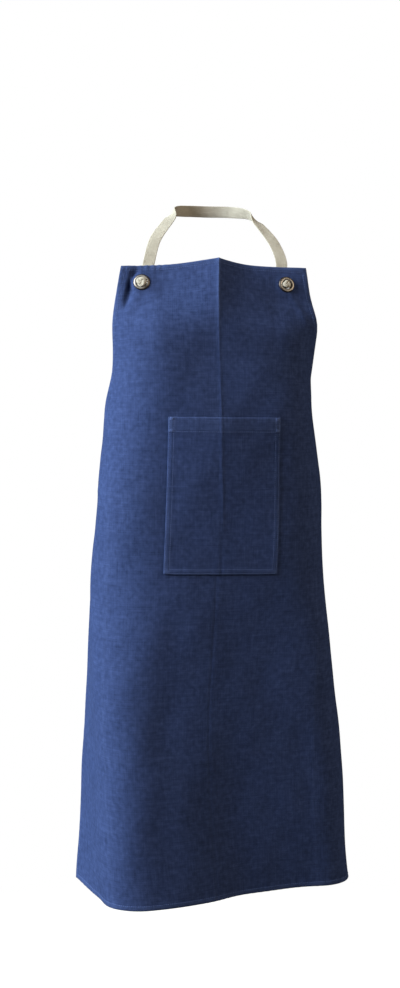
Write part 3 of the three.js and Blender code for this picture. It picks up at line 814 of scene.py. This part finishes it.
# Turned metal
def make_turned(name, spot, outline, material):
    """A ring turned from an outline of radius, height and tone: polish and patina, with painted shade in
    places.
    """
    point, out, up = cloth_frame(np.array(spot[0]), np.array(spot[1]))
    right = np.cross(up, out)
    sides = 72
    turn = np.arange(sides) * 2 * np.pi / sides
    spoke = right * np.cos(turn)[:, None] + up * np.sin(turn)[:, None]
    rings = [point + spoke * radius + out * height for (radius, height), _ in outline]
    points = np.concatenate(rings)
    faces = []
    count = len(outline)
    for r in range(count):
        for k in range(sides):
            n = (k + 1) % sides
            after = (r + 1) % count
            faces.append([r * sides + k, after * sides + k, after * sides + n, r * sides + n])
    polish_and_shade_rows = np.repeat([polish_and_shade for _, polish_and_shade in outline], sides)
    return add_object(name, points, faces, material, None, polish_and_shade_rows)


def eyelet_outline():
    barrel = THROAT_RADIUS + BARREL_WALL
    lip = -CLOTH - WASHER_SEAT - WASHER_THICK - GAP
    seat = EYELET_SEAT
    # Each row ends with its tone: polish on the crest, patina and painted shade darkening the outer rim
    # and down the throat
    return (
        ((FLANGE_RADIUS, seat), 0.0),
        ((FLANGE_RADIUS + 0.05, seat + 0.25), 0.05),
        ((FLANGE_RADIUS - 0.1, seat + 0.65), 0.1),
        ((FLANGE_RADIUS - 0.55, seat + 1.15), 0.2),
        ((FLANGE_RADIUS - 1.2, seat + 1.6), 0.55),
        ((FLANGE_RADIUS - 2.0, seat + 1.9), 0.9),
        ((FLANGE_RADIUS - 2.8, seat + 2.0), 1.0),
        ((FLANGE_RADIUS - 3.7, seat + 1.92), 1.0),
        ((barrel + 0.75, seat + 1.7), 0.9),
        ((barrel + 0.2, seat + 1.3), 0.6),
        ((barrel - 0.3, seat + 0.75), 0.3),
        ((THROAT_RADIUS + 0.15, seat), 0.1),
        ((THROAT_RADIUS, seat - 0.8), 0.05),
        ((THROAT_RADIUS, lip + 0.3), 0.05),
        ((THROAT_RADIUS + 0.1, lip - 0.3), 0.4),
        ((THROAT_RADIUS + 0.45, lip - 0.75), 0.9),
        ((THROAT_RADIUS + 1.1, lip - 0.95), 1.0),
        ((barrel + 1.2, lip - 0.95), 0.9),
        ((barrel + 1.75, lip - 0.65), 0.6),
        ((barrel + 1.9, lip - 0.2), 0.3),
        ((barrel + 1.85, lip), 0.1),
        ((barrel, lip), 0.0),
        ((barrel, seat), 0.0),
    )


def washer_outline():
    top = -CLOTH - WASHER_SEAT
    bore = THROAT_RADIUS + BARREL_WALL + GAP
    foot = top - WASHER_THICK
    return (
        ((bore, top), 0.1),
        ((bore, foot + 0.2), 0.2),
        ((bore + 0.2, foot), 0.5),
        ((FLANGE_RADIUS - 1.6, foot), 0.5),
        ((FLANGE_RADIUS - 0.7, foot + 0.12), 0.9),
        ((FLANGE_RADIUS - 0.15, foot + 0.45), 0.9),
        ((FLANGE_RADIUS, foot + 0.8), 0.4),
        ((FLANGE_RADIUS, top), 0.1),
    )


# Materials
def new_material(name):
    material = bpy.data.materials.new(name)
    material.use_nodes = True
    tree = material.node_tree
    return material, tree, tree.nodes["Principled BSDF"]


def add_node(tree, kind, links=None, **settings):
    node = tree.nodes.new(kind)
    for key, value in settings.items():
        setattr(node, key, value)
    for socket, source in (links or {}).items():
        if isinstance(source, bpy.types.NodeSocket):
            tree.links.new(source, node.inputs[socket])
        else:
            node.inputs[socket].default_value = source
    return node


def maths(tree, operation, first, second=0.0, third=0.0):
    links = {0: first, 1: second, 2: third}
    return add_node(tree, "ShaderNodeMath", links, operation=operation).outputs[0]


def scaled(tree, vector, factors):
    node = add_node(tree, "ShaderNodeVectorMath", {0: vector, 1: factors}, operation="MULTIPLY")
    return node.outputs[0]


def noise(tree, vector, scale, detail=2.0, roughness=0.5):
    links = {"Vector": vector, "Scale": scale, "Detail": detail, "Roughness": roughness}
    return add_node(tree, "ShaderNodeTexNoise", links).outputs["Fac"]


def ramp(tree, factor, stops):
    node = add_node(tree, "ShaderNodeValToRGB", {"Fac": factor})
    while len(node.color_ramp.elements) < len(stops):
        node.color_ramp.elements.new(0.5)
    for element, (place, colour) in zip(node.color_ramp.elements, stops):
        element.position = place
        element.color = (*colour, 1.0)
    return node.outputs["Color"]


def blend(tree, factor, first, second, mode="MIX"):
    links = {0: factor, 6: first, 7: second}
    return add_node(tree, "ShaderNodeMix", links, data_type="RGBA", blend_type=mode).outputs[2]


def bump(tree, height, strength, distance, normal=None):
    links = {"Height": height, "Strength": strength, "Distance": distance}
    if normal is not None:
        links["Normal"] = normal
    return add_node(tree, "ShaderNodeBump", links).outputs["Normal"]


def canvas_material():
    material, tree, shader = new_material("canvas")
    uv = add_node(tree, "ShaderNodeUVMap", uv_map="UVMap").outputs["UV"]
    split = add_node(tree, "ShaderNodeSeparateXYZ", {0: uv})
    thread = 2 * math.pi / (2 * 0.00085)
    warp = maths(tree, "SINE", maths(tree, "MULTIPLY", split.outputs[0], thread))
    weft = maths(tree, "SINE", maths(tree, "MULTIPLY", split.outputs[1], thread))
    weave = maths(tree, "MULTIPLY", warp, weft)
    slub_down = noise(tree, scaled(tree, uv, (620.0, 26.0, 1.0)), 1.0, 2.0, 0.6)
    slub_over = noise(tree, scaled(tree, uv, (22.0, 560.0, 1.0)), 1.0, 2.0, 0.6)
    slub = maths(tree, "MULTIPLY", maths(tree, "ADD", slub_down, slub_over), 0.5)
    cloudy = noise(tree, uv, 26.0, 4.0, 0.6)
    mottle = noise(tree, uv, 130.0, 2.0, 0.5)
    patchy = maths(tree, "MULTIPLY_ADD", mottle, 0.7, maths(tree, "MULTIPLY", cloudy, 0.3))
    tone = maths(tree, "MULTIPLY", maths(tree, "ADD", slub, patchy), 0.5)
    colour = ramp(tree, tone, (
        (0.36, (0.0133, 0.0232, 0.0680)),
        (0.5, (0.0205, 0.0350, 0.1010)),
        (0.64, (0.0304, 0.0505, 0.1390)),
    ))
    # Painted shade in the gaps between threads and painted light on their crowns
    gaps = maths(tree, "MULTIPLY_ADD", weave, 0.12, 0.92)
    colour = blend(tree, 1.0, colour, gaps, "MULTIPLY")
    # Lighter along the edges, crease and pack folds from wear, and on the puckers' crests as a painted
    # highlight
    worn_and_highlit = add_node(tree, "ShaderNodeAttribute", attribute_name="wear_and_painted_light").outputs["Fac"]
    rubbed_and_highlit = maths(tree, "MULTIPLY", worn_and_highlit, maths(tree, "MULTIPLY_ADD", slub, 1.6, -0.3))
    colour = blend(tree, rubbed_and_highlit, colour, (0.07, 0.11, 0.26, 1.0))
    tree.links.new(colour, shader.inputs["Base Color"])
    rough = maths(tree, "MULTIPLY_ADD", slub, 0.2, 0.74)
    tree.links.new(rough, shader.inputs["Roughness"])
    shader.inputs["Specular IOR Level"].default_value = 0.02
    shader.inputs["Sheen Weight"].default_value = 0.005
    shader.inputs["Sheen Roughness"].default_value = 0.45
    shader.inputs["Sheen Tint"].default_value = (0.45, 0.58, 1.0, 1.0)
    fine = bump(tree, weave, 0.35, 0.00035)
    rough_yarn = bump(tree, slub, 0.38, 0.0008, fine)
    tree.links.new(rough_yarn, shader.inputs["Normal"])
    return material


def thread_material():
    material, tree, shader = new_material("thread")
    place = add_node(tree, "ShaderNodeTexCoord").outputs["Object"]
    fuzz = noise(tree, place, 900.0, 2.0)
    colour = ramp(tree, fuzz, ((0.3, (0.032, 0.052, 0.14)), (0.7, (0.06, 0.096, 0.235))))
    tree.links.new(colour, shader.inputs["Base Color"])
    shader.inputs["Roughness"].default_value = 0.6
    shader.inputs["Specular IOR Level"].default_value = 0.04
    tree.links.new(bump(tree, fuzz, 0.3, 0.0002), shader.inputs["Normal"])
    return material


def tape_material():
    material, tree, shader = new_material("tape")
    uv = add_node(tree, "ShaderNodeUVMap", uv_map="UVMap").outputs["UV"]
    split = add_node(tree, "ShaderNodeSeparateXYZ", {0: uv})
    across = maths(tree, "ABSOLUTE", split.outputs[0])
    slant = maths(tree, "ADD", split.outputs[1], across)
    rib = maths(tree, "SINE", maths(tree, "MULTIPLY", slant, 2 * math.pi / 0.0016))
    thread = maths(tree, "SINE", maths(tree, "MULTIPLY", split.outputs[0], 2 * math.pi / 0.0009))
    weave = maths(tree, "ADD", rib, maths(tree, "MULTIPLY", thread, 0.5))
    cloudy = noise(tree, uv, 60.0, 4.0, 0.6)
    yarn = noise(tree, scaled(tree, uv, (900.0, 60.0, 1.0)), 1.0, 2.0, 0.6)
    tone = maths(tree, "MULTIPLY", maths(tree, "ADD", cloudy, yarn), 0.5)
    colour = ramp(tree, tone, (
        (0.3, (0.228, 0.222, 0.196)),
        (0.5, (0.272, 0.266, 0.236)),
        (0.7, (0.32, 0.314, 0.282)),
    ))
    shade = maths(tree, "MULTIPLY_ADD", weave, 0.05, 0.95)
    colour = blend(tree, 1.0, colour, shade, "MULTIPLY")
    tree.links.new(colour, shader.inputs["Base Color"])
    shader.inputs["Roughness"].default_value = 0.88
    shader.inputs["Specular IOR Level"].default_value = 0.2
    shader.inputs["Sheen Weight"].default_value = 0.05
    shader.inputs["Sheen Roughness"].default_value = 0.5
    tree.links.new(bump(tree, weave, 0.4, 0.0003), shader.inputs["Normal"])
    return material


def brass_material():
    material, tree, shader = new_material("brass")
    place = add_node(tree, "ShaderNodeTexCoord").outputs["Object"]
    patina = noise(tree, place, 260.0, 4.0, 0.65)
    speck = noise(tree, place, 1500.0, 2.0)
    # Turned tone: polished crest and patina, with painted shade darkening the eyelet's outer rim and
    # throat
    polish_and_shade = add_node(tree, "ShaderNodeAttribute", attribute_name="wear_and_painted_light").outputs["Fac"]
    mixed = maths(tree, "MULTIPLY_ADD", polish_and_shade, 0.75, maths(tree, "MULTIPLY", patina, 0.4))
    colour = ramp(tree, mixed, (
        (0.15, (0.025, 0.021, 0.019)),
        (0.55, (0.078, 0.07, 0.065)),
        (0.95, (0.25, 0.242, 0.235)),
    ))
    tree.links.new(colour, shader.inputs["Base Color"])
    shader.inputs["Metallic"].default_value = 1.0
    rough = maths(tree, "MULTIPLY_ADD", patina, 0.3, 0.32)
    tree.links.new(rough, shader.inputs["Roughness"])
    tree.links.new(bump(tree, speck, 0.12, 0.0001), shader.inputs["Normal"])
    return material


# How much light the floor throws back up, kept low so that the skirt stays deep
FLOOR_BOUNCE = (0.03, 0.03, 0.03, 1.0)


def floor_material():
    """Pale floor that runs into the white backdrop away from the part."""
    material, tree, shader = new_material("studio_floor")
    place = add_node(tree, "ShaderNodeTexCoord").outputs["Object"]
    soft = noise(tree, place, 0.7, 2.0)
    pale = ramp(tree, soft, ((0.3, (0.86, 0.865, 0.87)), (0.7, (0.88, 0.88, 0.88))))
    seen = add_node(tree, "ShaderNodeLightPath").outputs["Is Camera Ray"]
    tree.links.new(blend(tree, seen, FLOOR_BOUNCE, pale), shader.inputs["Base Color"])
    shader.inputs["Roughness"].default_value = 0.9
    shader.inputs["Specular IOR Level"].default_value = 0.1
    radius = add_node(tree, "ShaderNodeVectorMath", {0: place}, operation="LENGTH").outputs["Value"]
    links = {"Value": radius, "From Min": 0.5, "From Max": 1.6}
    away = add_node(tree, "ShaderNodeMapRange", links, interpolation_type="SMOOTHSTEP").outputs["Result"]
    white = add_node(tree, "ShaderNodeEmission").outputs["Emission"]
    share = maths(tree, "MULTIPLY", away, seen)
    mixed = add_node(tree, "ShaderNodeMixShader", {0: share, 1: shader.outputs["BSDF"], 2: white})
    tree.links.new(mixed.outputs["Shader"], tree.nodes["Material Output"].inputs["Surface"])
    return material


canvas = canvas_material()
thread = thread_material()
tape = tape_material()
brass = brass_material()

# Cloth
panel = make_panel(canvas)
pocket = make_pocket(canvas)
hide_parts("apron_body")
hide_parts("patch_pocket")

hem_starts, hem_ends = stitch_ends(hem_lines(), HEM_PITCH)
hem_thread = make_stitches("hem_stitches", panel_face, hem_starts, hem_ends, THREAD_RADIUS, thread)
row_starts, row_ends = stitch_ends(pocket_lines(), POCKET_PITCH)
row_thread = make_stitches("pocket_stitches", pocket_face, row_starts, row_ends, THREAD_RADIUS, thread)
tack_starts, tack_stops = tack_ends()
tack_thread = make_stitches("pocket_tacks", pocket_face, tack_starts, tack_stops, TACK_RADIUS, thread)

# Eyelets
for side, spot in EYELETS.items():
    ring = make_turned("brass_eyelet_" + side, spot, eyelet_outline(), brass)
    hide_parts("eyelet_" + side)
    plate = make_turned("brass_washer_" + side, spot, washer_outline(), brass)
    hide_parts("washer_" + side)

# Neck strap
left_half = neck_stations(NECK_LEFT, EYELETS["left"])
right_half = neck_stations(NECK_RIGHT, EYELETS["right"])
neck = make_tape("neck_tape", left_half[::-1] + right_half[1:], 300, tape)
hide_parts("neck_strap")
for side, spot in EYELETS.items():
    knot = make_knot("neck_knot_" + side, spot, KNOT_TURN[side], KNOT_SIZE[side], tape)

# Waist tie
tie_inside = -CLOTH - HEM_BACK - GAP - 0.2 - TAPE_THICK / 2


def lapped(across):
    point, out, _ = cloth_frame(np.array(across), np.array(TIE_LEVEL))
    return (point + out * tie_inside, out, TAPE_WIDTH, TAPE_THICK, 0.0)


loose = []
for i, place in enumerate(TIE_ROUTE):
    place = np.array(place, float)
    outward = place - TIE_MIDDLE
    outward[2] = 0.0
    size = TIE_SQUEEZED if i == 2 else (TAPE_WIDTH, TAPE_THICK)
    loose.append((place, unit(outward), *size, 0.0))
tie_stations = [lapped(lap - SKIRT_HALF) for lap in (TIE_LAP, TIE_LAP / 2, 0.0, -TIE_CLEAR)]
tie_stations += loose
tie_stations += [lapped(SKIRT_HALF - lap) for lap in (-TIE_CLEAR, 0.0, TIE_LAP / 2, TIE_LAP)]
waist = make_tape("waist_tape", tie_stations, 220, tape)
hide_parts("waist_tie")

heart = loose[2][0].copy()
heart[1] += TIE_KNOT_DEEP / 2 - TAPE_THICK / 2
wrap_turn = np.linspace(0.0, 2 * np.pi, 13)
wrap = []
for a in wrap_turn:
    facing = np.array([0.0, math.cos(a), math.sin(a)])
    spot = heart + np.array([1.5 * math.sin(a), 5.0 * math.cos(a), 10.2 * math.sin(a)])
    wrap.append((spot, facing, 15.0 + 2.5 * math.sin(2 * a), TAPE_THICK, 0.25))
turn_piece = make_tape("waist_knot", wrap, 96, tape)
for tail_side, tail_length, splay in TIE_TAILS:
    lean = math.radians(splay) * tail_side
    tail = []
    for share, sway, deep in ((0.0, 0.0, 0.0), (0.2, 0.15, 2.0), (0.6, 0.3, 1.0), (1.0, 0.1, 0.0)):
        down = tail_length * share
        x = heart[0] + tail_side * 5 + math.sin(lean) * down
        y = heart[1] + deep + tail_side * (1 + 2.0 * share)
        z = heart[2] - math.cos(lean) * down
        width = TIE_SQUEEZED[0] if share == 0.0 else TAPE_WIDTH
        tail.append((np.array([x, y, z]), unit([sway * tail_side, 1.0, 0.0]), width, TAPE_THICK, 0.0))
    end = make_tape("waist_end_" + ("left" if tail_side < 0 else "right"), tail, 60, tape)

# Floor, in metres
FLOOR_REACH = 40.0
FLOOR_HEIGHT = -1.56
floor_mesh = bpy.data.meshes.new("studio_floor")
corners = [(x * FLOOR_REACH, y * FLOOR_REACH, 0.0) for x, y in ((-1, -1), (1, -1), (1, 1), (-1, 1))]
floor_mesh.from_pydata(corners, [], [(0, 1, 2, 3)])
floor = bpy.data.objects.new("studio_floor", floor_mesh)
floor.location = (0.0, 0.0, FLOOR_HEIGHT)
floor_mesh.materials.append(floor_material())
bpy.context.scene.collection.objects.link(floor)

# Light: a white backdrop, a broad soft key from the left and dim light from the right and behind
LIGHT_AIM = Vector((0.0, -0.1, -0.55))
LIGHT_FAR = 6.0


def studio_world(fill_colour, fill_strength):
    world = bpy.data.worlds.new("studio")
    world.use_nodes = True
    tree = world.node_tree
    fill = tree.nodes["Background"]
    fill.inputs["Color"].default_value = (*fill_colour, 1.0)
    fill.inputs["Strength"].default_value = fill_strength
    white = add_node(tree, "ShaderNodeBackground", {"Color": (1.0, 1.0, 1.0, 1.0), "Strength": 1.0})
    seen = add_node(tree, "ShaderNodeLightPath").outputs["Is Camera Ray"]
    mixed = add_node(tree, "ShaderNodeMixShader", {0: seen, 1: fill.outputs[0], 2: white.outputs[0]})
    tree.links.new(mixed.outputs["Shader"], tree.nodes["World Output"].inputs["Surface"])
    bpy.context.scene.world = world


def area_light(name, azimuth, elevation, size, power, colour):
    """A soft round light, by its bearing from the front and its height in degrees."""
    data = bpy.data.lights.new(name, "AREA")
    data.shape = "DISK"
    data.size = size
    data.energy = power
    data.color = colour
    bearing = math.radians(azimuth)
    height = math.radians(elevation)
    level = math.cos(height)
    away = Vector((math.sin(bearing) * level, -math.cos(bearing) * level, math.sin(height)))
    light = bpy.data.objects.new(name, data)
    light.location = LIGHT_AIM + away * LIGHT_FAR
    light.rotation_euler = (-away).to_track_quat("-Z", "Y").to_euler()
    light.visible_camera = False
    bpy.context.scene.collection.objects.link(light)


studio_world((1.0, 0.95, 0.9), 0.01)
area_light("key_front", -69.0, 26.0, 3.0, 960.0, (1.0, 0.97, 0.91))
area_light("key_side", -92.0, 32.0, 3.0, 640.0, (0.88, 1.0, 0.97))
area_light("right", 60.0, 20.0, 4.0, 310.0, (1.0, 0.8, 0.58))
area_light("back", 180.0, 25.0, 4.0, 260.0, (1.0, 0.97, 0.92))

# Camera: its place in metres, its aim in degrees, and its focal length in pixels of the photograph
CAMERA_PLACE = (-0.4198, -2.8951, -0.2390)
CAMERA_BEARING = -8.0
CAMERA_PITCH = 4.2
CAMERA_FOCAL = 1807.0
PHOTO_TALL = 988.0
SENSOR = 36.0
azimuth = math.radians(CAMERA_BEARING)
pitch = math.radians(CAMERA_PITCH)
flat = math.cos(pitch)
ahead = Vector((-math.sin(azimuth) * flat, math.cos(azimuth) * flat, -math.sin(pitch)))
right = Vector((math.cos(azimuth), math.sin(azimuth), 0.0))
up = right.cross(ahead)
lens = bpy.data.cameras.new("camera")
lens.sensor_width = SENSOR
lens.lens = CAMERA_FOCAL / PHOTO_TALL * SENSOR
lens.clip_end = 200.0
camera = bpy.data.objects.new("camera", lens)
turn = Matrix((right, up, -ahead)).transposed()
camera.matrix_world = Matrix.Translation(CAMERA_PLACE) @ turn.to_4x4()
bpy.context.scene.collection.objects.link(camera)
bpy.context.scene.camera = camera

bpy.context.scene.view_settings.view_transform = "Standard"
